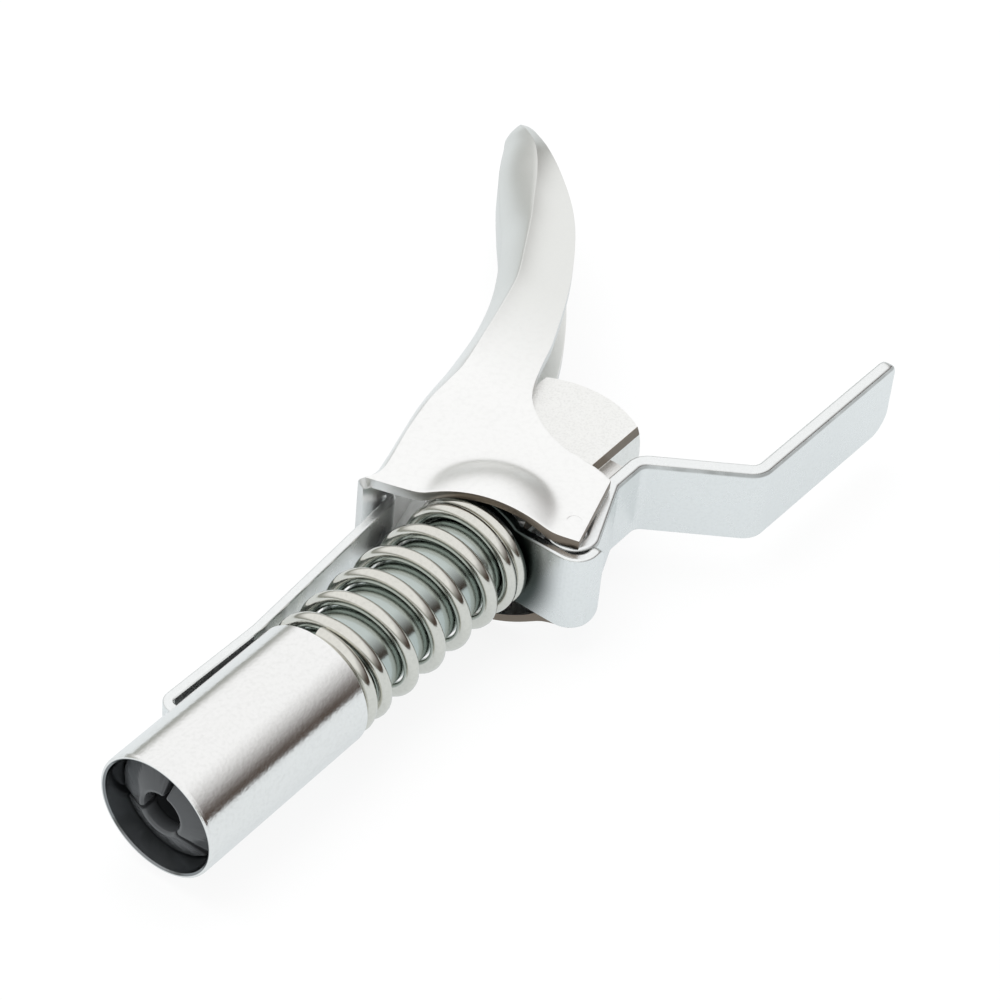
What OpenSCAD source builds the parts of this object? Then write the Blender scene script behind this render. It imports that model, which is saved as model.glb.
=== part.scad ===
// Two-handle grease coupler: three jaws in a spring-loaded sleeve, squeezed open by a stamped lever.
// Millimetres. The origin is the middle of the jaws' lips, +X runs back along the bore to the inlet,
// +Y is the lever side and +Z is square to the flat sides of the lever.

/* [Sleeve] */
// mouth of the sleeve, ahead of the lips of the jaws
mouth_x = -2.1; // [-3:0.1:-2]
// outside radius of the sleeve
sleeve_r = 8.9; // [8:0.1:10]
// length of the sleeve
sleeve_len = 30.2; // [28:0.1:34]
// inside radius behind the taper
sleeve_relief_r = 7.9; // [7.8:0.05:8.2]
// radius of the taper at the mouth
taper_r = 8.25; // [8.1:0.05:8.3]
// slope of the taper that closes the jaws
taper_slope = 0.14; // [0.1:0.01:0.18]
// distance from the mouth to the rear end of the taper
taper_len = 6.5; // [6:0.1:7]
// thickness of the wall at the rear of the sleeve
sleeve_wall = 1.4; // [1.2:0.1:2]

/* [Jaws] */
// depth of the lips behind the mouth
jaw_front = 1; // [0.8:0.1:2]
// how far the front of the jaws slopes back
jaw_slope = 1.9; // [1:0.1:2.5]
// radius of the lips that grip behind the nipple head
lip_r = 2.85; // [2.6:0.05:2.9]
// radius of the pocket round the nipple head
pocket_r = 3.35; // [3.3:0.01:3.5]
// outside radius of the long part of the jaw
jaw_shank_r = 6.4; // [6.2:0.1:6.6]
// gap between two jaws in degrees
jaw_gap = 8.5; // [4:0.5:10]
// turn of the first jaw gap from the lever side
jaw_turn = 99; // [0:1:119]

/* [Body] */
// outside radius of the tube
tube_r = 6.5; // [6.2:0.05:6.55]
// bore of the tube
bore_r = 3.1; // [2.9:0.05:3.15]
// front of the nose that carries the jaws
nose_x = 14.4; // [14:0.1:15]
// front face of the block
block_x = 63.5; // [62:0.1:66]
// rear end of the block
block_end = 92.1; // [90:0.1:94]
// width of the block
block_w = 15.4; // [14:0.1:18]
// thickness of the block
block_t = 12.2; // [12:0.1:12.4]
// offset of the block to the lever side
block_shift = 2.1; // [1.8:0.1:2.4]
// radius of the domed rear end
block_round = 16; // [15:0.1:18]
// centre of the domed rear end
block_round_x = 77; // [76:0.05:78]
// radius of the inlet before threading
inlet_r = 4.4; // [4.3:0.05:4.5]
// depth of the inlet
inlet_len = 10.5; // [10:0.1:12]

/* [Sheet metal] */
// thickness of the bracket and the link
sheet_t = 1.4; // [1.2:0.1:1.6]
// thickness of the fixed handle
handle_t = 1.9; // [1.6:0.1:2.2]
// thickness of the lever
lever_t = 1.5; // [1.2:0.1:1.6]
// width of the fixed handle strip
strip_w = 12.2; // [12:0.1:12.4]
// width of the hook bracket
hook_w = 12.3; // [12:0.1:12.4]
// bend radius at the middle of the sheet
bend_r = 2.7; // [2:0.1:3.5]
// width of the link
link_w = 6.7; // [6:0.1:7.5]

/* [Hinge] */
// place of the hinge pin along the coupler
hinge_x = 67.2; // [66:0.1:68]
// place of the hinge pin across the coupler
hinge_y = -11.2; // [-12:0.1:-10]
// radius of the pin between the plates
pin_r = 1.7; // [1.5:0.05:2]
// radius of the pin ends in the plates
pin_end_r = 1; // [0.9:0.05:1.2]
// angle of the lever at rest
lever_angle = 17.2; // [15:0.1:20]

/* [Lever] */
// half of the height over both plates
lever_h = 7.8; // [7.6:0.1:8]
// front edge of the plates from the pin
plate_front = -3.5; // [-4:0.1:-3]
// right edge of the plates from the pin
plate_right = -1.85; // [-3:0.05:-1.5]
// radius of the dome at the plate
dome_r = 8.9; // [8:0.1:9.5]
// height of the dome
dome_h = 2.9; // [2.4:0.1:3.2]
// thickness of the drawn sheet in the dome
dome_t = 1.2; // [1:0.1:1.5]

/* [Springs] */
// mean radius of the return spring
coil_r = 7.7; // [7.5:0.05:7.8]
// wire radius of the return spring
wire_r = 1; // [0.9:0.05:1.1]
// pitch of the open coils
coil_pitch = 5.5; // [5:0.1:6]

/* [Hidden] */
$fn = 96;
hinge = [hinge_x, hinge_y, 0];
eye_in = pin_r + 0.03;
eye_out = eye_in + handle_t + 0.04;
eye_mid = (eye_in + eye_out) / 2;
hook_x = block_x - sheet_t / 2;
hook_y = hinge_y - eye_out - 0.06 - sheet_t / 2;
hook_end = hinge_x + 0.3;
arm_y = -9.5;
arm_start = 78.4;
arm_bend = 84.73;
handle_bend = [93.83, -22.95];
handle_end = [125.5, -23.78];
pad_len = 4.4;
pad_h = 8.4;
groove_x = nose_x + 2.8;
groove_len = 2.2;
groove_r = 4.1;
flange_r = 4.9;
stop_x = 25.35;
stop_t = 1.15;
pocket_end = 6.6;
ring_x = 15.65;
seal_x = 6.8;
piston_x = 10.5;
collar_x = 16.6;
o_ring_x = 20.35;
piston_end = 24.9;
plug_x = 42.9;
plug_len = 5;
seat_x = 65.5;
seat_len = 3;
ball_r = 2.2;
ball_x = 64.47;
link_front = 10.8;
link_crown = 10.1;
link_low = [28.5, 9.8];
link_rear = [59.32, 12.1];
tab_end = 15.26;
link_bend_r = 1.5;
sleeve_end = mouth_x + sleeve_len;
taper_end = mouth_x + taper_len;
window_front = -1.1;
window_len = 3;

// Revolved solid about the bore from points given as [along, radius].
module turned(points) {
    rotate([0, 90, 0])
        rotate_extrude()
            polygon([for (p = points) [p[1], p[0]]]);
}

function heading(a, b) = atan2(b[1] - a[1], b[0] - a[0]);
function wrap(d) = d > 180 ? d - 360 : d < -180 ? d + 360 : d;
function turn(p, i) = wrap(heading(p[i], p[i + 1]) - heading(p[i - 1], p[i]));
function setback(p, i, r) = i == 0 || i == len(p) - 1 ? 0 : r * tan(abs(turn(p, i)) / 2);

// Edge of a bent strip at a set distance to the left of its middle line, with an arc at each inner corner.
arc_steps = 10;
function arc_centre(p, i, r) = let (a = heading(p[i - 1], p[i]), side = sign(turn(p, i)))
    p[i] - setback(p, i, r) * [cos(a), sin(a)] + side * r * [-sin(a), cos(a)];
function arc_edge(p, i, r, off) = let (a = heading(p[i - 1], p[i]), side = sign(turn(p, i)))
    [for (k = [0:arc_steps])
        let (b = a - side * 90 + turn(p, i) * k / arc_steps)
            arc_centre(p, i, r) + (r - side * off) * [cos(b), sin(b)]];
function end_point(p, i, off) = let (a = i == 0 ? heading(p[0], p[1]) : heading(p[i - 1], p[i]))
    p[i] + off * [-sin(a), cos(a)];
function strip_edge(p, r, off) = let (n = len(p) - 1)
    concat([end_point(p, 0, off)], [for (i = [1:n - 1]) each arc_edge(p, i, r, off)],
        [end_point(p, n, off)]);
function reversed(p) = [for (i = [len(p) - 1:-1:0]) p[i]];

// Strip on edge, bent along corner points with the middle radius r.
module bent_strip(p, t, w, r) {
    linear_extrude(w, center = true)
        polygon(concat(strip_edge(p, r, t / 2), reversed(strip_edge(p, r, -t / 2))));
}

// Waste left outside a rounded corner; the corner points along +X and +Z.
module corner_waste(r, deep) {
    difference() {
        translate([-r, -deep / 2, -r])
            cube([r + 1, deep, r + 1]);
        translate([-r, 0, -r])
            rotate([90, 0, 0])
                cylinder(r = r, h = deep + 1, center = true);
    }
}

// Ring of rectangular section between two radii.
module washer(x, t, r_in, r_out) {
    translate([x, 0, 0])
        rotate([0, 90, 0])
            difference() {
                cylinder(r = r_out, h = t);
                translate([0, 0, -1])
                    cylinder(r = r_in, h = t + 2);
            }
}

// Triangles between neighbouring rings of points.
function skin(steps, ring) = [for (k = [0:steps - 1], j = [0:ring - 1])
    let (j2 = (j + 1) % ring, a = k * ring, b = (k + 1) * ring)
        each [[a + j, a + j2, b + j2], [a + j, b + j2, b + j]]];

// Round wire wound about the bore. The stations are [turn, along], with straight runs between.
module coil(stations, r, wire, start, per_turn, sides) {
    n = round(stations[len(stations) - 1][0] * per_turn);
    function centre(k) = let (a = start + 360 * k / per_turn)
        [lookup(k / per_turn, stations), r * cos(a), r * sin(a)];
    points = [for (k = [0:n], j = [0:sides - 1])
        let (a = start + 360 * k / per_turn, b = 360 * j / sides)
            centre(k) + wire * [sin(b), cos(b) * cos(a), cos(b) * sin(a)]];
    first = [for (j = [0:sides - 1]) sides - 1 - j];
    last = [for (j = [0:sides - 1]) n * sides + j];
    polyhedron(points, concat(skin(n, sides), [first, last]), convexity = 10);
}

module body() {
    color("silver")
        difference() {
            union() {
                turned([[nose_x, 0], [nose_x, flange_r - 0.4], [nose_x + 0.4, flange_r],
                    [groove_x, flange_r], [groove_x, groove_r], [groove_x + groove_len, groove_r],
                    [groove_x + groove_len, tube_r], [block_x + 4, tube_r], [block_x + 4, 0]]);
                intersection() {
                    translate([block_x, block_shift - block_w / 2, -block_t / 2])
                        cube([block_end - block_x, block_w, block_t]);
                    translate([block_round_x, block_shift, 0])
                        sphere(r = block_round);
                }
                translate([arm_start + 0.8, arm_y + handle_t / 2, -pad_h / 2])
                    cube([pad_len, 5, pad_h]);
            }
            turned([[nose_x - 1, 0], [nose_x - 1, 2.6], [collar_x - 0.2, 2.6], [collar_x - 0.2, bore_r],
                [block_end - inlet_len - 1.2, bore_r], [block_end - inlet_len, inlet_r],
                [block_end - 0.8, inlet_r], [block_end + 0.2, inlet_r + 1], [block_end + 0.2, 0]]);
            washer(stop_x - 0.05, stop_t + 0.1, tube_r - 0.6, tube_r + 1);
        }
}

module hook_bracket() {
    path = [[hook_x, 0], [hook_x, hook_y], [hook_end, hook_y]];
    color("gainsboro")
        difference() {
            union() {
                bent_strip(path, sheet_t, hook_w, bend_r);
                washer(block_x - sheet_t, sheet_t, 1, 8.3);
            }
            translate([block_x - 5, 0, 0])
                rotate([0, 90, 0])
                    cylinder(r = tube_r + 0.03, h = 10);
            for (side = [0, 1])
                mirror([0, 0, side])
                    translate([hook_end, hook_y, hook_w / 2])
                        corner_waste(1.6, 8);
        }
}

module fixed_handle() {
    from = [hinge_x, hinge_y];
    lean = heading(from, [arm_start, arm_y]) + asin(eye_mid / norm([arm_start, arm_y] - from));
    tangent = from + eye_mid * [sin(lean), -cos(lean)];
    path = [tangent, [arm_start, arm_y], [arm_bend, arm_y], handle_bend, handle_end];
    color("gainsboro")
        difference() {
            union() {
                bent_strip(path, handle_t, strip_w, bend_r);
                translate([hinge_x, hinge_y, -strip_w / 2])
                    rotate([0, 0, lean - 90 - 280])
                        rotate_extrude(angle = 281)
                            translate([eye_in, 0])
                                square([eye_out - eye_in, strip_w]);
            }
            translate([handle_end[0], handle_end[1], strip_w / 2])
                corner_waste(2, 8);
            translate([handle_end[0], handle_end[1], -strip_w / 2])
                mirror([0, 0, 1])
                    corner_waste(3.6, 8);
        }
}

module hinge_pin() {
    color("silver")
        translate(hinge) {
            cylinder(r = pin_r, h = 2 * (lever_h - lever_t) - 0.04, center = true);
            cylinder(r = pin_end_r, h = 2 * lever_h, center = true);
        }
}

// Height of a smooth curve through the points of a table at the place x.
function slope(t, i) = let (a = max(i - 1, 0), b = min(i + 1, len(t) - 1))
    (t[b][1] - t[a][1]) / (t[b][0] - t[a][0]);
function span_of(t, x) = max([for (k = [0:len(t) - 2]) if (k == 0 || x >= t[k][0]) k]);
function curve(t, x) = let (
        i = span_of(t, x),
        w = t[i + 1][0] - t[i][0],
        s = (x - t[i][0]) / w)
    t[i][1] * (1 + 2 * s) * pow(1 - s, 2) + slope(t, i) * w * s * pow(1 - s, 2)
        + t[i + 1][1] * s * s * (3 - 2 * s) + slope(t, i + 1) * w * s * s * (s - 1);

// Lever outline from the pin, as [back, left]: the notch and inner edge, the outer wall,
// the start of the rounded shoulder, and how far the shoulder and the plates come down.
notch_start = 9.6;
dome_at = [-2.4, 11];
inner_edge = [[9.6, -1.85], [11.3, 1.4], [12.6, 5], [15.2, 9], [18.9, 12.2], [22.1, 13.6], [27, 14.2],
    [33, 14.5], [45.8, 16.4], [56.2, 19.2], [63, 22], [70.2, 26.2], [76.4, 30.5], [80, 33.3],
    [82.3, 35], [83.2, 36]];
outer_edge = [[-3.5, 28.8], [-2, 27.6], [0, 27.1], [15, 26.9], [25, 26.4], [35, 26.2], [45, 27.2],
    [57, 30.4], [63, 32.8], [71, 35.8], [75, 36.9], [78.5, 37.7], [81, 38.3], [82.6, 38.3], [83.2, 37.9]];
shoulder = [[-3.5, 27.8], [-2, 26.7], [0, 26.2], [8, 26.2], [15, 25.7], [18.7, 24.9], [23, 23.9], [31, 23.5],
    [39, 23.4], [44, 23.6], [50.6, 24.9], [57.5, 26.4], [62, 27.6], [67.6, 29.1], [73, 31], [77, 33],
    [81, 35.6], [83.2, 36.9]];
shoulder_drop = [[-3.5, 1], [12, 1.1], [18, 1.8], [25, 3], [35, 4], [60, 4.8], [78, 4], [83.2, 2.4]];
plate_height = [[-3.5, lever_h], [50, lever_h], [64, lever_h], [74, lever_h - 0.6], [80, 5.8], [83.2, 4.4]];
lever_places = concat([plate_front, -3, -2.5, -2, -1, 0, 5], [for (x = [9.6:0.75:15.6]) x],
    [for (x = [17:1.6:29.8]) x], [for (x = [32:3:68]) x], [for (x = [70:1.5:79]) x],
    [80.2, 81.2, 82, 82.7, 83.2]);

function inner_at(x) = x <= notch_start ? plate_right : curve(inner_edge, x);
function slope_down(c, o, h, drop) = [for (k = [0:6])
    let (s = k / 6, s_mid = 2 * s * (1 - s), s_end = s * s)
        [c + (o - c) * (0.75 * s_mid + s_end), h - drop * (0.45 * s_mid + s_end)]];
function flipped(p) = [for (i = [len(p) - 1:-1:0]) [p[i][0], -p[i][1]]];
function section_at(x) = let (
        a = inner_at(x), o = curve(outer_edge, x), c = min(curve(shoulder, x), o - 0.5),
        h = curve(plate_height, x), d = curve(shoulder_drop, x),
        o2 = max(o - lever_t, a + 0.2), c2 = min(c, o2 - 0.1),
        outside = concat([[a, h]], slope_down(max(c, a + 0.1), o, h, d)),
        inside = concat([[a, h - lever_t]],
            slope_down(max(c2, a + 0.05), o2, h - lever_t, max(d - lever_t, 0.3))))
    concat(outside, flipped(outside), inside_loop(inside));
function inside_loop(p) = concat(
    [for (q = p) [q[0], -q[1]]],
    [for (i = [len(p) - 1:-1:0]) p[i]]);

// Channel of the lever: a C section carried along the outline from the front edge to the tip.
module lever_channel() {
    n = len(lever_places);
    m = len(section_at(0));
    points = [for (x = lever_places) for (q = section_at(x)) [x, q[0], q[1]]];
    far = (n - 1) * m;
    first = [for (j = [0:m / 2 - 2]) [m - 1 - j, m - 2 - j, j + 1, j]];
    last = [for (j = [0:m / 2 - 2]) [far + j, far + j + 1, far + m - 2 - j, far + m - 1 - j]];
    polyhedron(points, concat(skin(n - 1, m), first, last), convexity = 10);
}

// Ball of the dome, with its top a set height above the plate and a set radius where it leaves it.
module dome_ball(shrink) {
    ball = (dome_r * dome_r + dome_h * dome_h) / (2 * dome_h);
    translate([dome_at[0], dome_at[1], lever_h + dome_h - ball])
        sphere(r = ball - shrink);
}

module lever() {
    color("whitesmoke")
        translate(hinge)
            rotate([0, 0, lever_angle])
                difference() {
                    union() {
                        lever_channel();
                        for (side = [0, 1])
                            mirror([0, 0, side])
                                intersection() {
                                    dome_ball(0);
                                    translate([plate_front, 0, lever_h - lever_t / 2])
                                        cube([20, 22, 8]);
                                }
                    }
                    for (side = [0, 1])
                        mirror([0, 0, side])
                            intersection() {
                                dome_ball(dome_t);
                                translate([plate_front - 1, 0, lever_h - lever_t - 0.5])
                                    cube([20, 22, 8]);
                            }
                    cylinder(r = pin_end_r + 0.02, h = 30, center = true);
                    translate([window_front, 20, -link_w / 2 - 0.25])
                        cube([window_len, 12, link_w + 0.5]);
                }
}

module link() {
    path = [[link_front, 7.3], [link_front, link_crown], link_low, link_rear, [link_rear[0], tab_end]];
    color("gainsboro")
        bent_strip(path, sheet_t, link_w, link_bend_r);
}

// Radius of the sleeve's taper, which presses the jaws shut.
function taper_at(x) = taper_r - taper_slope * (x - mouth_x);

module sleeve() {
    shelf = sleeve_end - sleeve_wall;
    color("silver")
        difference() {
            turned([[mouth_x + 0.5, sleeve_r], [sleeve_end - 0.4, sleeve_r], [sleeve_end, sleeve_r - 0.4],
                [sleeve_end, tube_r + 0.06], [shelf, tube_r + 0.06],
                [shelf, sleeve_relief_r], [taper_end + 1.2, sleeve_relief_r],
                [taper_end, taper_at(taper_end)], [mouth_x + 0.2, taper_at(mouth_x + 0.2)],
                [mouth_x, taper_r + 0.2],
                [mouth_x, sleeve_r - 0.2], [mouth_x + 0.15, sleeve_r - 0.05]]);
            translate([link_front - sheet_t / 2 - 0.1, 5, -link_w / 2 - 0.12])
                cube([sheet_t + 0.2, 6, link_w + 0.24]);
        }
}

module stop_ring() {
    color("dimgray")
        difference() {
            washer(stop_x, stop_t, tube_r - 0.55, 7.3);
            translate([stop_x - 1, -1.2, 0])
                cube([4, 2.4, 10]);
        }
}

module return_spring() {
    front = sleeve_end + wire_r + 0.02;
    rear = block_x - sheet_t - wire_r - 0.02;
    stations = [[0, front], [1, front + 2.1], [5.9, front + 2.1 + 4.9 * coil_pitch], [7.35, rear]];
    color("lightsteelblue")
        coil(stations, coil_r, wire_r, 87, 22, 8);
}

// One jaw: a turned collet sector with lips, a pocket, a shank and a foot that hooks behind the nose.
module jaw(index) {
    front = mouth_x + jaw_front;
    brow = front + jaw_slope;
    head_end = taper_end + 0.5;
    foot = groove_x + 0.3;
    heel = groove_x + 1.9;
    chamfer = 0.3;
    function cone(x) = taper_at(x) - 0.03;
    color("dimgray")
        rotate([jaw_turn + 120 * index + jaw_gap / 2, 0, 0])
            rotate([0, 90, 0])
                rotate([0, 0, 90])
                    rotate_extrude(angle = 120 - jaw_gap)
                        polygon([for (p = [
                            [front, lip_r + 0.2], [front + 0.25, lip_r], [front + 2, lip_r],
                            [front + 2.65, pocket_r], [pocket_end, pocket_r], [pocket_end, 3.6],
                            [nose_x - 0.6, 3.6], [nose_x - 0.6, flange_r + 0.15],
                            [foot, flange_r + 0.15], [foot, groove_r + 0.2],
                            [heel, groove_r + 0.2], [heel, jaw_shank_r - chamfer],
                            [heel - chamfer, jaw_shank_r], [ring_x + 0.75, jaw_shank_r],
                            [ring_x + 0.75, 5.75], [ring_x - 0.75, 5.75], [ring_x - 0.75, jaw_shank_r],
                            [head_end + 1, jaw_shank_r], [head_end, cone(head_end)],
                            [brow + chamfer, cone(brow + chamfer)],
                            [brow, cone(brow) - chamfer], [front, lip_r + 0.6]]) [p[1], p[0]]]);
}

module jaw_1() {
    jaw(0);
}

module jaw_2() {
    jaw(1);
}

module jaw_3() {
    jaw(2);
}

module jaw_ring() {
    color("black")
        translate([ring_x, 0, 0])
            rotate([0, 90, 0])
                rotate_extrude()
                    translate([6.5, 0])
                        circle(r = 0.55, $fn = 24);
}

module nipple_seal() {
    color("black")
        turned([[seal_x, 1.5], [seal_x + 0.6, 0.9], [piston_x, 0.9], [piston_x, 2.9],
            [seal_x + 0.4, 2.9], [seal_x, 2.5]]);
}

module piston() {
    slide_r = bore_r - 0.05;
    groove = o_ring_x - 0.75;
    color("silver")
        turned([[piston_x, 0.9], [piston_end, 0.9], [piston_end, slide_r], [groove + 1.5, slide_r],
            [groove + 1.5, bore_r - 0.95], [groove, bore_r - 0.95], [groove, slide_r], [collar_x, slide_r],
            [collar_x, 2.54], [piston_x, 2.54]]);
}

module piston_o_ring() {
    color("black")
        translate([o_ring_x, 0, 0])
            rotate([0, 90, 0])
                rotate_extrude()
                    translate([bore_r - 0.48, 0])
                        circle(r = 0.44, $fn = 24);
}

module piston_spring() {
    first = piston_end + 0.47;
    last = plug_x - 0.47;
    color("lightsteelblue")
        coil([[0, first], [1, first + 0.95], [7, last - 0.95], [8, last]], 2.5, 0.45, 0, 12, 6);
}

module bore_plug() {
    color("silver")
        turned([[plug_x, 1.2], [plug_x + plug_len, 1.2], [plug_x + plug_len, bore_r - 0.01],
            [plug_x + 0.4, bore_r - 0.01], [plug_x, bore_r - 0.4]]);
}

module check_spring() {
    first = plug_x + plug_len + 0.37;
    last = ball_x - 2.27;
    color("lightsteelblue")
        coil([[0, first], [1, first + 0.75], [6, last - 0.75], [7, last]], 1.6, 0.35, 0, 12, 6);
}

module check_ball() {
    color("lightgray")
        translate([ball_x, 0, 0])
            sphere(r = ball_r);
}

module check_seat() {
    color("goldenrod")
        turned([[seat_x, 2.1], [seat_x + 0.8, 1.3], [seat_x + seat_len, 1.3],
            [seat_x + seat_len, bore_r - 0.01], [seat_x, bore_r - 0.01]]);
}

body();
hook_bracket();
fixed_handle();
hinge_pin();
lever();
link();
sleeve();
stop_ring();
return_spring();
jaw_1();
jaw_2();
jaw_3();
jaw_ring();
nipple_seal();
piston();
piston_o_ring();
piston_spring();
bore_plug();
check_spring();
check_ball();
check_seat();
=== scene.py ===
import math

import bpy
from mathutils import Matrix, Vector


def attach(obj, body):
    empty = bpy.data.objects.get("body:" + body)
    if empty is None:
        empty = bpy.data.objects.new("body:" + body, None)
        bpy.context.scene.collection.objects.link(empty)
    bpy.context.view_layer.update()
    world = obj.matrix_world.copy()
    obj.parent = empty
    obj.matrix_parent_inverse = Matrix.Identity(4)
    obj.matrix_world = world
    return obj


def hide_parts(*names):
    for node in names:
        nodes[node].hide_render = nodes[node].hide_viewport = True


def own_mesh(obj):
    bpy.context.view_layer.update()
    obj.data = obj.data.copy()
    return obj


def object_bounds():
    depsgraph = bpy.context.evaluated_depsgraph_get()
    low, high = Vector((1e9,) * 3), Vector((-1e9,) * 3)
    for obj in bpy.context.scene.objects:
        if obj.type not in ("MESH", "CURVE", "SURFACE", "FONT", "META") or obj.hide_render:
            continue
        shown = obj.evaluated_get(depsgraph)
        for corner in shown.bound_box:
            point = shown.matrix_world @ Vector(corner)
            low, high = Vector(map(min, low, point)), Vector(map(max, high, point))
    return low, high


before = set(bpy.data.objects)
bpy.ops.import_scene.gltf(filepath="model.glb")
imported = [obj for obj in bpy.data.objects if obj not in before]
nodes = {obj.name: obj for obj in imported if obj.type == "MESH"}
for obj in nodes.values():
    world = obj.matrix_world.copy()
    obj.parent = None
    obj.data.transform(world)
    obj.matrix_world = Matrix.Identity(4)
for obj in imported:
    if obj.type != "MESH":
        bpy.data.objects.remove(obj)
cad_low, cad_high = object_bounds()
scene = bpy.context.scene
scene.view_settings.view_transform = "Standard"
mm = 0.001


# Camera. A long lens looks down on the coupler from the sleeve's end and the fixed handle's side,
# as a product photographer would stand, with the whole part in the picture.
lens_mm = 126.3
camera_at = (-0.22016, -0.18674, 0.31496)
camera_turn = (47.68, -4.39, -52.91)
bpy.ops.object.camera_add(location=camera_at, rotation=[math.radians(a) for a in camera_turn])
camera = bpy.context.object
camera.name = "photo_camera"
camera.data.lens = lens_mm
camera.data.sensor_width = 36
camera.data.clip_start = 0.01
scene.camera = camera


# Studio. A white table and a bright ceiling with one darker wall, which bright plating mirrors
# as the long brown and grey bands seen on turned steel. Only reflections see the walls.
def linear(code):
    """Linear colour of an sRGB hex value."""
    parts = [int(code[i:i + 2], 16) / 255 for i in (1, 3, 5)]
    return [c / 12.92 if c <= 0.04045 else ((c + 0.055) / 1.055) ** 2.4 for c in parts] + [1]


def add_node(tree, kind, settings=None, **inputs):
    """Adds a node. An input is named with _ for a space or by its number as nN; it takes a value or a socket."""
    made = tree.nodes.new(kind)
    for name, value in (settings or {}).items():
        setattr(made, name, value)
    for name, value in inputs.items():
        number = name[1:].isdigit() and name[0] == "n"
        socket = made.inputs[int(name[1:]) if number else name.replace("_", " ")]
        if isinstance(value, bpy.types.NodeSocket):
            tree.links.new(value, socket)
        else:
            socket.default_value = value
    return made


def calc(tree, operation, *values):
    """Result of a sum on values or sockets."""
    numbered = {f"n{k}": value for k, value in enumerate(values)}
    return add_node(tree, "ShaderNodeMath", {"operation": operation}, **numbered).outputs[0]


def fade(tree, value, start, end, low=0.0, high=1.0, kind="SMOOTHSTEP"):
    """Goes from low to high while the value goes from start to end."""
    return add_node(tree, "ShaderNodeMapRange", {"interpolation_type": kind}, Value=value, From_Min=start, From_Max=end,
                    To_Min=low, To_Max=high).outputs["Result"]


def mix(tree, share, first, second):
    """Colour that goes from the first to the second by a share."""
    return add_node(tree, "ShaderNodeMixRGB", Fac=share, Color1=first, Color2=second).outputs["Color"]


pure_white = (1, 1, 1, 1)
world = bpy.data.worlds.new("studio_room")
scene.world = world
world.use_nodes = True
room = world.node_tree
room.nodes.clear()
way = add_node(room, "ShaderNodeTexCoord").outputs["Generated"]
height = add_node(room, "ShaderNodeSeparateXYZ", n0=way).outputs["Z"]
dark_wall_way = (0.62, -0.78, 0)
side = add_node(room, "ShaderNodeVectorMath", {"operation": "DOT_PRODUCT"}, n0=way, n1=dark_wall_way).outputs["Value"]
beside = fade(room, side, 0.1, 0.8)
wall_colour = mix(room, beside, linear("#95968F"), linear("#4A3E36"))
wall_top = calc(room, "MULTIPLY_ADD", beside, 0.52, 0.38)
ceiling = fade(room, calc(room, "DIVIDE", height, wall_top), 0.1, 1.0)
reflected = mix(room, ceiling, wall_colour, pure_white)
path = add_node(room, "ShaderNodeLightPath").outputs
light = mix(room, path["Is Glossy Ray"], pure_white, reflected)
glow = add_node(room, "ShaderNodeBackground", Color=light, Strength=1.0)
add_node(room, "ShaderNodeOutputWorld", Surface=glow.outputs["Background"])

bpy.ops.object.select_all(action="DESELECT")
bpy.ops.mesh.primitive_plane_add(size=6, location=(0.05, 0.01, cad_low.z))
table = bpy.context.object
table.name = "table"
bpy.ops.object.transform_apply(location=True)
paper = bpy.data.materials.new("white_table_paper")
paper.use_nodes = True
tree = paper.node_tree
tree.nodes.clear()
path = add_node(tree, "ShaderNodeLightPath").outputs
seen = calc(tree, "MAXIMUM", path["Is Camera Ray"], path["Is Glossy Ray"])
seen = calc(tree, "MAXIMUM", seen, path["Is Transmission Ray"])
share = calc(tree, "MULTIPLY", seen, 0.86)
matt = add_node(tree, "ShaderNodeBsdfDiffuse", Color=linear("#F2F3F3"))
tint = mix(tree, path["Is Glossy Ray"], pure_white, linear("#E4E9EB"))
white = add_node(tree, "ShaderNodeEmission", Color=tint, Strength=1.0)
both = add_node(tree, "ShaderNodeMixShader", Fac=share, n1=matt.outputs[0], n2=white.outputs[0])
add_node(tree, "ShaderNodeOutputMaterial", Surface=both.outputs[0])
table.data.materials.append(paper)

bpy.ops.object.light_add(type="AREA", location=(0.1, 0.25, 0.7))
softbox = bpy.context.object
softbox.name = "softbox"
softbox.data.shape = "RECTANGLE"
softbox.data.size = 0.8
softbox.data.size_y = 0.6
softbox.data.energy = 3
softbox.visible_glossy = False
softbox.rotation_euler = (Vector((0.05, 0.01, 0)) - softbox.location).to_track_quat("-Z", "Y").to_euler()


# Body. One piece of zinc plated steel, on which everything else is mounted: the tube is turned and bright,
# the block has a shot-blasted skin, and one side is painted dark brown as painted shade from the gap beside it.
def metal(name, colour, rough, spread, grain_mm, bump, speck=0.1):
    """Plated or polished metal: a cloudy roughness, a fine grain in the surface and small dull specks."""
    made = bpy.data.materials.new(name)
    made.use_nodes = True
    tree = made.node_tree
    shader = tree.nodes["Principled BSDF"].inputs
    shader["Metallic"].default_value = 1
    place = add_node(tree, "ShaderNodeTexCoord").outputs["Object"]
    cloud = add_node(tree, "ShaderNodeTexNoise", Vector=place, Scale=1000 / (grain_mm * 8), Detail=4.0).outputs[0]
    tree.links.new(fade(tree, cloud, 0, 1, rough - spread, rough + spread, "LINEAR"), shader["Roughness"])
    fine = add_node(tree, "ShaderNodeTexNoise", Vector=place, Scale=1000 / grain_mm, Detail=2.0).outputs[0]
    dent = add_node(tree, "ShaderNodeBump", Height=fine, Strength=bump, Distance=0.0001)
    tree.links.new(dent.outputs["Normal"], shader["Normal"])
    spots = fade(tree, fine, 0.45, 0.75, 0, speck, "LINEAR")
    tree.links.new(mix(tree, spots, linear(colour), linear("#8C8B86")), shader["Base Color"])
    return made


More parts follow.
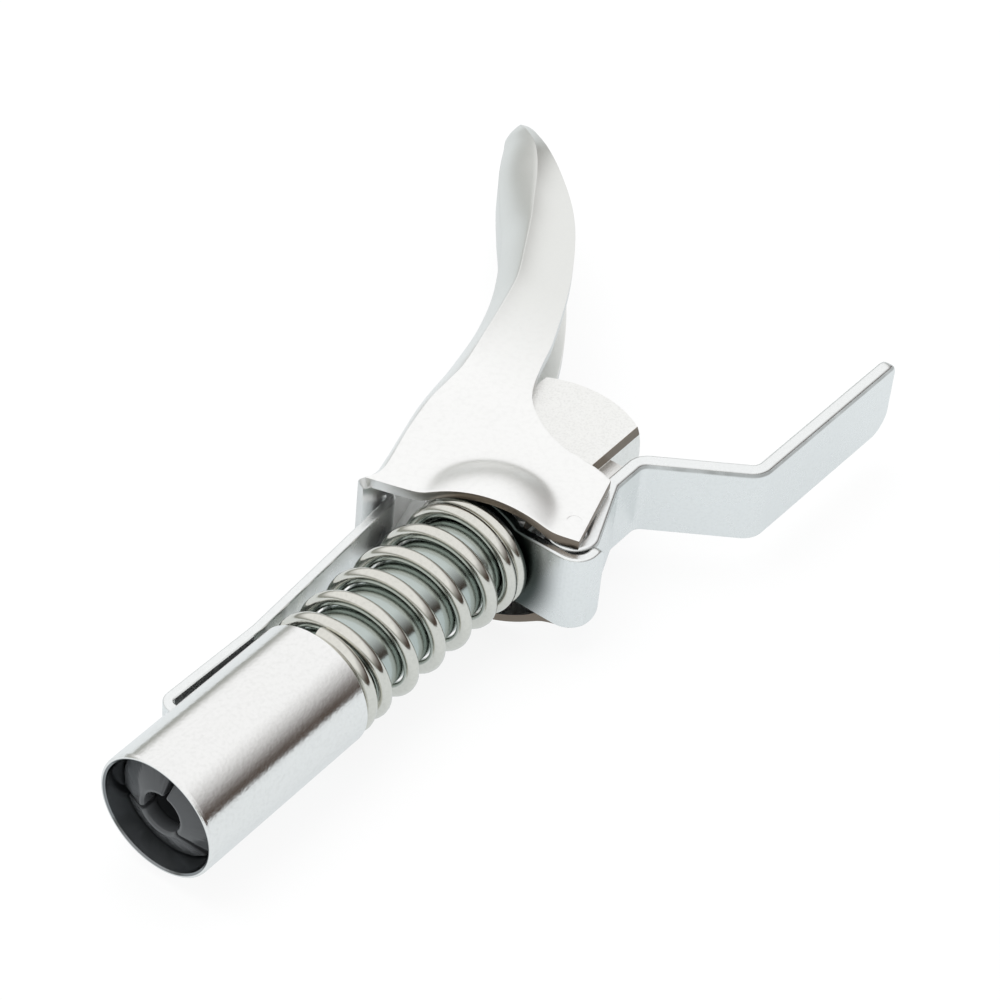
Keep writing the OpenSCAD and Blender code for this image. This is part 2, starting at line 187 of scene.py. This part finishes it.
def place_in(tree):
    """Where a point lies: its X, Y and Z, and how far it is from the bore's axis."""
    place = add_node(tree, "ShaderNodeTexCoord").outputs["Object"]
    x, y, z = add_node(tree, "ShaderNodeSeparateXYZ", n0=place).outputs
    across = add_node(tree, "ShaderNodeVectorMath", {"operation": "MULTIPLY"}, n0=place, n1=(0, 1, 1)).outputs[0]
    radius = add_node(tree, "ShaderNodeVectorMath", {"operation": "LENGTH"}, n0=across).outputs["Value"]
    return x, y, z, radius


def recolour(material, share, colour):
    """Covers a material's colour with another by a share."""
    tree = material.node_tree
    base = tree.nodes["Principled BSDF"].inputs["Base Color"]
    tree.links.new(mix(tree, share, base.links[0].from_socket, linear(colour)), base)


def finish(name, material, edge_mm=0):
    """Gives a CAD node its material, and breaks its sharp edges where a width is given."""
    part = nodes[name]
    part.data.materials.clear()
    part.data.materials.append(material)
    if edge_mm:
        weld = part.modifiers.new("joined", "WELD")
        weld.merge_threshold = 0.04 * mm
        flat = part.modifiers.new("flat_faces", "DECIMATE")
        flat.decimate_type = "DISSOLVE"
        flat.angle_limit = math.radians(0.5)
        bevel = part.modifiers.new("broken_edges", "BEVEL")
        bevel.width = edge_mm * mm
        bevel.segments = 3
        bevel.angle_limit = math.radians(40)
        bevel.harden_normals = True
        bevel.use_clamp_overlap = False


block_front, side_shade_beyond, side_shade_above = 63.4 * mm, -5.52 * mm, 4.3 * mm
tube_rough, tube_grain, block_grain = 0.16, 0.03, 0.3
blasted_zinc = metal("blasted_zinc_plate", "#F7F7F5", 0.4, 0.05, 0.3, block_grain, 0.12)
tree = blasted_zinc.node_tree
x, y, z, radius = place_in(tree)
block = calc(tree, "GREATER_THAN", x, block_front)
recolour(blasted_zinc, calc(tree, "SUBTRACT", 1.0, block), "#BCC5C2")
# Painted shade: the block's side towards the handle, above the pad, is painted dark brown for the shaded gap it
# mirrors.
painted_side_shade = calc(tree, "MULTIPLY", calc(tree, "LESS_THAN", y, side_shade_beyond), calc(tree, "GREATER_THAN", z, side_shade_above))
recolour(blasted_zinc, painted_side_shade, "#7D7266")
rough = tree.nodes["Principled BSDF"].inputs["Roughness"]
tree.links.new(mix(tree, block, (tube_rough, tube_rough, tube_rough, 1), rough.links[0].from_socket), rough)
grain = calc(tree, "MULTIPLY_ADD", block, block_grain - tube_grain, tube_grain)
tree.links.new(grain, tree.nodes["Bump"].inputs["Strength"])
finish("body", blasted_zinc)


# Bracket, fixed handle and link. Bent from cold-rolled strip and bright zinc plated, with a bluish passivation.
# Painted shade darkens the bracket round the spring, and a painted dark line lies under the handle's upper edge.
strip_look = ("#F1F3F3", 0.28, 0.06, 0.4, 0.05, 0.06)
blue_zinc = metal("blue_passivated_zinc", *strip_look)
finish("link", blue_zinc, 0.3)

shaded_zinc = metal("blue_zinc_painted_shade_at_spring", *strip_look)
tree = shaded_zinc.node_tree
x, y, z, radius = place_in(tree)
# Painted shade: the bracket is painted dark close to the bore's axis, for the spring's shadow and dark reflection.
recolour(shaded_zinc, fade(tree, radius, 9.2 * mm, 13.8 * mm, 1, 0), "#434A48")
finish("hook_bracket", shaded_zinc, 0.35)

shade_line_height = 5.5 * mm
strip_zinc = metal("blue_zinc_strip", *strip_look)
tree = strip_zinc.node_tree
x, y, z, radius = place_in(tree)
# Painted shade: a patchy dark line at the height of the handle's rounded upper edge, for the dark wall that edge
# mirrors.
from_shade_line = calc(tree, "ABSOLUTE", calc(tree, "SUBTRACT", z, shade_line_height))
line = fade(tree, from_shade_line, 0.15 * mm, 0.5 * mm, 1, 0)
place = add_node(tree, "ShaderNodeTexCoord").outputs["Object"]
patchy = add_node(tree, "ShaderNodeTexNoise", Vector=place, Scale=250.0, Detail=2.0).outputs[0]
recolour(strip_zinc, calc(tree, "MULTIPLY", line, patchy), "#67645E")
finish("fixed_handle", strip_zinc, 0.5)


# Lever. One stamping of 1.5 mm sheet, drawn into a channel with a dome on each plate and closed at the tip,
# pierced for the riveted pin and the link, bright zinc plated; the plates' cut edges are painted brown as a painted
# reflection of the shaded table under the part, pale further along +Y, and the plates turn greyer towards the grip.
hinge = Vector((67.2, -11.2, 0))
lever_turn = math.radians(17.2)
dome_at, dome_r, dome_h, dome_soft = (-2.4, 11), 8.9, 2.85, 0.7
plate_foot, straight_foot = -1.85, 9.6
inner_edge = [(9.6, -1.85), (11.3, 1.4), (12.6, 5), (15.2, 9), (18.9, 12.2), (22.1, 13.6), (27, 14.2), (33, 14.5),
              (45.8, 16.4), (56.2, 19.2), (63, 22), (70.2, 26.2), (76.4, 30.5), (80, 33.3), (82.3, 35), (83.2, 36)]
outer_edge = [(-3.5, 28.8), (-2, 27.6), (0, 27.1), (15, 26.9), (25, 26.4), (35, 26.2), (45, 27.2), (57, 30.4),
              (63, 32.8), (71, 35.8), (75, 36.9), (78.5, 37.7), (81, 38.3), (82.6, 38.3), (83.2, 37.9)]
shoulder = [(-3.5, 27.8), (-2, 26.7), (0, 26.2), (8, 26.2), (15, 25.7), (18.7, 24.9), (23, 23.9), (31, 23.5),
            (39, 23.4), (44, 23.6), (50.6, 24.9), (57.5, 26.4), (62, 27.6), (67.6, 29.1), (73, 31), (77, 33),
            (81, 35.6), (83.2, 36.9)]
shoulder_drop = [(-3.5, 1), (12, 1.1), (18, 1.8), (25, 3), (35, 4), (60, 4.8), (78, 4), (83.2, 2.4)]
ridge_rise = [(-3.5, 0), (17, 0), (30, 0.8), (70, 0.9), (78, 0.6), (83.2, 0)]
plate_height = [(-3.5, 7.8), (64, 7.8), (74, 7.2), (80, 5.8), (83.2, 4.4)]


def curve(points, x):
    """Smooth line through points, level at its ends."""
    last = len(points) - 1
    x = min(max(x, points[0][0]), points[last][0])
    i = max(k for k in range(last) if points[k][0] <= x)
    (x0, y0), (x1, y1) = points[i], points[i + 1]

    def slope(k):
        a, b = points[max(k - 1, 0)], points[min(k + 1, last)]
        return (b[1] - a[1]) / (b[0] - a[0])

    w = x1 - x0
    s = (x - x0) / w
    return (y0 * (1 + 2 * s) * (1 - s) ** 2 + slope(i) * w * s * (1 - s) ** 2
            + y1 * s * s * (3 - 2 * s) + slope(i + 1) * w * s * s * (s - 1))


def shaped_grid(name, columns, rows, place):
    """Grid primitive whose points are pulled to place(column, row), given in millimetres."""
    bpy.ops.object.select_all(action="DESELECT")
    bpy.ops.mesh.primitive_grid_add(x_subdivisions=columns - 1, y_subdivisions=rows - 1, size=1)
    made = bpy.context.object
    made.name = name
    for k, point in enumerate(made.data.vertices):
        point.co = Vector(place(k % columns, k // columns)) * mm
    return made


def edit_all(obj, action):
    """Runs an edit-mode action on the whole mesh."""
    bpy.ops.object.select_all(action="DESELECT")
    obj.select_set(True)
    bpy.context.view_layer.objects.active = obj
    bpy.ops.object.mode_set(mode="EDIT")
    bpy.ops.mesh.select_all(action="SELECT")
    action()
    bpy.ops.object.mode_set(mode="OBJECT")


def apply_modifiers(obj):
    """Makes all modifiers of an object part of its mesh."""
    bpy.ops.object.select_all(action="DESELECT")
    obj.select_set(True)
    bpy.context.view_layer.objects.active = obj
    for modifier in list(obj.modifiers):
        bpy.ops.object.modifier_apply(modifier=modifier.name)


places = [-3.5 + 0.5 * k for k in range(70)] + [31.5 + 1.0 * k for k in range(44)] + [75 + 0.39 * k for k in range(21)]
half = [("plate", k / 40) for k in range(40)] + [("bend", k / 12) for k in range(13)]
around = [(kind, s, 1) for kind, s in half] + [("wall", k / 8, 1) for k in range(1, 8)]
around += [(kind, s, -1) for kind, s in reversed(half)]


def dome_rise(x, y):
    """How far the drawn dome stands over the plate, with a soft foot."""
    ball = (dome_r ** 2 + dome_h ** 2) / (2 * dome_h)
    reach = (x - dome_at[0]) ** 2 + (y - dome_at[1]) ** 2
    rise = dome_h - ball + math.sqrt(max(ball ** 2 - reach, 0))
    return (rise + math.sqrt(rise ** 2 + dome_soft ** 2)) / 2 - dome_soft ** 2 / 60


def lever_section(x, y, z):
    """Point of the lever, given along it and across it from the hinge, in the part's frame."""
    turned = Vector((x * math.cos(lever_turn) - y * math.sin(lever_turn),
                     x * math.sin(lever_turn) + y * math.cos(lever_turn), z))
    return hinge + turned


def lever_point(column, row):
    """Point of the stamping's outer skin: plate, bend over the shoulder, web, and the same on the other side."""
    x = places[column]
    kind, s, way_up = around[row]
    inner = plate_foot if x <= straight_foot else curve(inner_edge, x)
    outer = curve(outer_edge, x)
    start = max(min(curve(shoulder, x), outer - 0.5), inner + 0.1)
    high, drop, ridge = curve(plate_height, x), curve(shoulder_drop, x), curve(ridge_rise, x)
    if kind == "plate":
        y = inner + (start - inner) * s
        near = max(1 - (start - y) / 4.5, 0)
        z = high + max(dome_rise(x, y), 0) + ridge * near ** 2
    elif kind == "bend":
        middle, end = 2 * s * (1 - s), s * s
        y = start + (outer - start) * (0.75 * middle + end)
        z = high + ridge * (1 - s) - drop * (0.45 * middle + end) + max(dome_rise(x, y), 0) * (1 - s)
    else:
        y = outer
        z = (high - drop) * (1 - 2 * s)
    return lever_section(x, y, z * way_up)


lever = shaped_grid("lever_stamping", len(places), len(around), lever_point)
edit_all(lever, lambda: bpy.ops.mesh.select_all(action="DESELECT"))
for k, point in enumerate(lever.data.vertices):
    point.select = k % len(places) == len(places) - 1
bpy.ops.object.mode_set(mode="EDIT")
bpy.ops.mesh.edge_face_add()
bpy.ops.object.mode_set(mode="OBJECT")
top_face = max(lever.data.polygons, key=lambda f: f.center.z)
if top_face.normal.z < 0:
    edit_all(lever, bpy.ops.mesh.flip_normals)

dome_thinning = 0.25
drawn = lever.vertex_groups.new(name="drawn_thickness")
for k, point in enumerate(lever.data.vertices):
    kind, s, way_up = around[k // len(places)]
    local = point.co / mm - hinge
    x = local.x * math.cos(lever_turn) + local.y * math.sin(lever_turn)
    y = local.y * math.cos(lever_turn) - local.x * math.sin(lever_turn)
    thin = min(max(dome_rise(x, y), 0), 1) if kind != "wall" else 0
    drawn.add([k], 1 - dome_thinning * thin, "REPLACE")

bright_zinc = metal("bright_zinc_plate", "#FBFBFA", 0.33, 0.05, 0.8, 0.05, 0.05)
tree = bright_zinc.node_tree
x, y, z, radius = place_in(tree)
# The plates turn greyer along X towards the grip's end.
recolour(bright_zinc, fade(tree, x, 80 * mm, 105 * mm, 0, 0.8), "#E4E5E2")
# Painted shade: the cut edges are painted brown for the shaded table they mirror, turning pale further along +Y.
edge_shade_steel = metal("cut_edge_painted_shade", "#857A6F", 0.35, 0.05, 0.3, 0.1)
tree = edge_shade_steel.node_tree
x, y, z, radius = place_in(tree)
recolour(edge_shade_steel, fade(tree, y, 2 * mm, 12 * mm, kind="LINEAR"), "#E6E7E6")
lever.data.materials.append(bright_zinc)
lever.data.materials.append(edge_shade_steel)

sheet = lever.modifiers.new("sheet", "SOLIDIFY")
sheet.thickness = 1.5 * mm
sheet.offset = -1
sheet.material_offset_rim = 1
sheet.vertex_group = drawn.name
edges = lever.modifiers.new("broken_edges", "BEVEL")
edges.width = 0.22 * mm
edges.segments = 2
edges.angle_limit = math.radians(50)
cutters = []
for label, centre, size in (("pin_hole", (0, 0, 0), None), ("link_window", (0.4, 26.5, 0), (3, 8, 7.2))):
    bpy.ops.object.select_all(action="DESELECT")
    if size:
        bpy.ops.mesh.primitive_cube_add(size=mm)
        cutter = bpy.context.object
        cutter.scale = size
    else:
        bpy.ops.mesh.primitive_cylinder_add(vertices=48, radius=1.005 * mm, depth=30 * mm)
        cutter = bpy.context.object
    cutter.rotation_euler = (0, 0, lever_turn)
    cutter.location = lever_section(*centre) * mm
    bpy.context.view_layer.update()
    pierce = lever.modifiers.new(label, "BOOLEAN")
    pierce.object = cutter
    pierce.operation = "DIFFERENCE"
    cutters.append(cutter)
apply_modifiers(lever)
for cutter in cutters:
    bpy.data.objects.remove(cutter)
bpy.ops.object.shade_smooth_by_angle(angle=math.radians(32))
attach(lever, "lever")
finish("hinge_pin", bright_zinc)
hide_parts("lever")


# Sleeve. Turned from bright steel, polished outside and slid over the jaws and the tube; the mouth and the bore
# inside it are painted grey as painted shade in the hollow.
skin_inside, skin_outside, sleeve_rear = 8.46 * mm, 8.56 * mm, 27.5 * mm
turned_steel = metal("turned_bright_steel", "#F3F3F2", 0.17, 0.05, 0.5, 0.14, 0.07)
tree = turned_steel.node_tree
x, y, z, radius = place_in(tree)
# Painted shade: the bore inside the sleeve is painted grey for the shade in the hollow; the outside and rear end keep
# the plain colour.
polished = calc(tree, "MAXIMUM", fade(tree, radius, skin_inside, skin_outside, kind="LINEAR"),
                calc(tree, "GREATER_THAN", x, sleeve_rear))
recolour(turned_steel, calc(tree, "SUBTRACT", 1.0, polished), "#8B8E90")
finish("sleeve", turned_steel)


# Springs. Hard-drawn polished wire, wound cold and closed at both ends: the return spring of 2 mm wire between
# the sleeve and the block, and the two inner springs that press on the piston and the check ball.
spring_wire = metal("polished_spring_wire", "#DEDDD6", 0.13, 0.03, 0.5, 0.03)


def close():
    """Joins the seam of a grid that was wrapped round, closes its ends and turns its faces outwards."""
    bpy.ops.mesh.remove_doubles(threshold=0.000001)
    bpy.ops.mesh.fill_holes(sides=0)
    bpy.ops.mesh.normals_make_consistent(inside=False)


def wound(name, stations, radius, wire, start):
    """Wire wound about the bore through stations of (turn, along)."""
    per_turn, sides = 64, 16
    count = round(stations[-1][0] * per_turn) + 1

    def along(turns):
        for (t0, x0), (t1, x1) in zip(stations, stations[1:]):
            if turns <= t1:
                return x0 + (x1 - x0) * (turns - t0) / (t1 - t0)
        return stations[-1][1]

    def wire_point(column, row):
        turns = column / per_turn
        a, b = math.radians(start + 360 * turns), 2 * math.pi * row / sides
        reach = radius + wire * math.cos(b)
        return (along(turns) + wire * math.sin(b), reach * math.cos(a), reach * math.sin(a))

    made = shaped_grid(name + "_wire", count, sides + 1, wire_point)
    edit_all(made, close)
    bpy.ops.object.shade_smooth_by_angle(angle=math.radians(50))
    made.data.materials.append(spring_wire)
    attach(made, "frame")
    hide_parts(name)
    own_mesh(made)


wound("return_spring", [(0, 29.12), (1, 31.22), (5.9, 58.17), (7.35, 61.08)], 7.7, 1, 87)
wound("piston_spring", [(0, 25.37), (1, 26.32), (7, 41.48), (8, 42.43)], 2.5, 0.45, 0)
wound("check_spring", [(0, 48.27), (1, 49.02), (6, 61.45), (7, 62.2)], 1.6, 0.35, 0)


# Inlet thread. 1/8-27 pipe thread, tapped in the block's rear end; the ridge stands into the bore
# and its foot is sunk in the wall.
pitch, turns, thread_steps, thread_start = 0.94, 9.2, 48, 82.4
thread_profile = [(-0.4, 4.42), (-0.06, 3.98), (0.06, 3.98), (0.4, 4.42), (-0.4, 4.42)]


def thread_point(column, row):
    """Point of the ridge, with its profile carried along a helix."""
    a = 2 * math.pi * column / thread_steps
    across, reach = thread_profile[row]
    return (thread_start + pitch * column / thread_steps + across, reach * math.cos(a), reach * math.sin(a))


thread = shaped_grid("inlet_thread", round(turns * thread_steps) + 1, len(thread_profile), thread_point)
edit_all(thread, close)
bpy.ops.object.shade_smooth_by_angle(angle=math.radians(30))
thread.data.materials.append(blasted_zinc)
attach(thread, "frame")


# Jaws and the pieces inside. Hardened jaws with a glossy black oxide, held in the body's groove by an elastic ring;
# behind them a plated piston with a rubber seal and O-ring, a drilled plug, and a ball on a pressed-in brass seat.
def plain(name, colour, rough, metallic):
    """Even material, for small and hidden pieces."""
    made = bpy.data.materials.new(name)
    made.use_nodes = True
    shader = made.node_tree.nodes["Principled BSDF"].inputs
    shader["Base Color"].default_value = linear(colour)
    shader["Roughness"].default_value = rough
    shader["Metallic"].default_value = metallic
    return made


black_oxide = plain("black_oxide_steel", "#4C4E50", 0.16, 0)
rubber = plain("nitrile_rubber", "#0F0F10", 0.6, 0)
brass = plain("machined_brass", "#C9A24E", 0.3, 1)
for name in ("jaw_1", "jaw_2", "jaw_3"):
    finish(name, black_oxide, 0.25)
finish("jaw_ring", rubber)
finish("stop_ring", black_oxide)
finish("nipple_seal", rubber)
finish("piston_o_ring", rubber)
finish("piston", blue_zinc)
finish("bore_plug", blue_zinc)
finish("check_seat", brass)
finish("check_ball", spring_wire)
